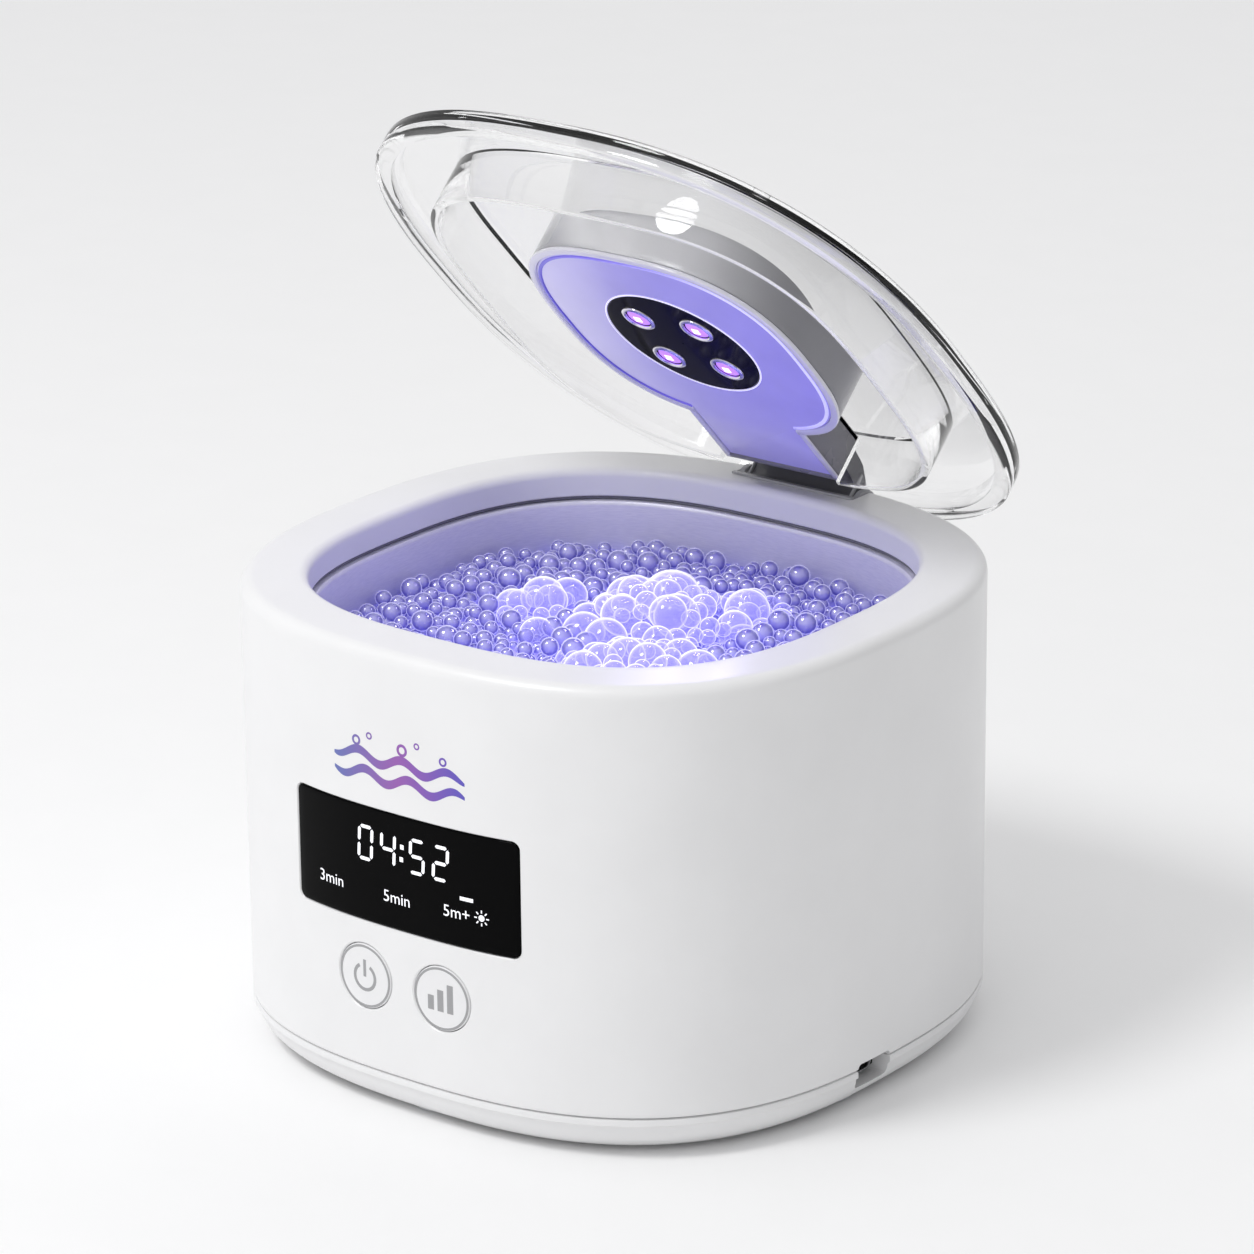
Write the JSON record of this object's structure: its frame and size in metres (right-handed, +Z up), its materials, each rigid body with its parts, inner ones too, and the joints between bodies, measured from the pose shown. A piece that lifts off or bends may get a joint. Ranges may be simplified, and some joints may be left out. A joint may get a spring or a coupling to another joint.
{
  "type": "ultrasonic cleaner",
  "caption": "Rounded-square cleaning bath with a front display, push buttons and a hinged clear lid that carries a lamp drum.",
  "frame": {"origin": "centre of the plane that the rubber feet stand on", "axes": "+Z up, the control panel faces -Y, the lid's hinge line runs along X at the back (+Y)"},
  "size_m": [0.128, 0.1338, 0.1766],
  "materials": {
    "shell_white": "satin",
    "tank_steel": "satin",
    "gasket_silicone": "matte",
    "tray_white": "satin",
    "foot_rubber": "matte",
    "screw_steel": "satin",
    "plate_aluminium": "machined",
    "piezo_ceramic": "fired ceramic with silvered faces",
    "board_green": "solder mask",
    "coil_copper": "enamelled winding under tape",
    "capacitor_sleeve": "shrink sleeve",
    "heat_sink_aluminium": "extruded",
    "inlet_steel": "drawn shell",
    "window_smoke": "tinted, polished",
    "module_black": "moulded",
    "switch_black": "moulded",
    "bracket_grey": "moulded",
    "pin_steel": "ground",
    "washer_nylon": "plain",
    "button_white": "satin",
    "lid_clear": "clear moulded plastic",
    "drum_clear": "clear moulded plastic",
    "led_board_white": "white solder mask",
    "face_violet": "translucent",
    "window_black": "polished",
    "bezel_chrome": "polished",
    "lens_violet": "moulded epoxy",
    "wire_red": "insulated"
  },
  "bodies": {
    "base": {"outer_shell": "shell_white", "tank": "tank_steel", "tank_gasket": "gasket_silicone", "base_tray": "tray_white", "rubber_feet": "foot_rubber", "base_screws": "screw_steel", "bonding_plate": "plate_aluminium", "piezo_disc": "piezo_ceramic", "main_board": "board_green", "driver_coil": "coil_copper", "filter_capacitors": "capacitor_sleeve", "heat_sink": "heat_sink_aluminium", "board_screws": "screw_steel", "inlet_board": "board_green", "power_inlet": "inlet_steel", "display_window": "window_smoke", "display_board": "board_green", "display_module": "module_black", "tact_switches": "switch_black", "panel_screws": "screw_steel", "hinge_bracket": "bracket_grey", "bracket_screws": "screw_steel", "hinge_pin": "pin_steel", "friction_washers": "washer_nylon"},
    "lid": {"lid_cover": "lid_clear", "lamp_housing": "drum_clear", "lamp_face": "face_violet", "led_window": "window_black", "led_bezels": "bezel_chrome", "led_lenses": "lens_violet", "led_board": "led_board_white", "led_board_screws": "screw_steel", "lamp_wires": "wire_red"},
    "power_button": {"power_button": "button_white"},
    "level_button": {"level_button": "button_white"}
  },
  "joints": [
    {"name": "lid_hinge", "type": "hinge", "parent": "base", "child": "lid", "pos_m": [0, 0.0595, 0.0864], "axis": [-1, 0, 0], "range_deg": [-46, 24]},
    {"name": "power_press", "type": "slide", "parent": "base", "child": "power_button", "axis": [0, 1, 0], "range_m": [0, 0.0006], "stiffness_N_per_m": 300, "springref_m": -0.001},
    {"name": "level_press", "type": "slide", "parent": "base", "child": "level_button", "axis": [0, 1, 0], "range_m": [0, 0.0006], "stiffness_N_per_m": 300, "springref_m": -0.001}
  ]
}
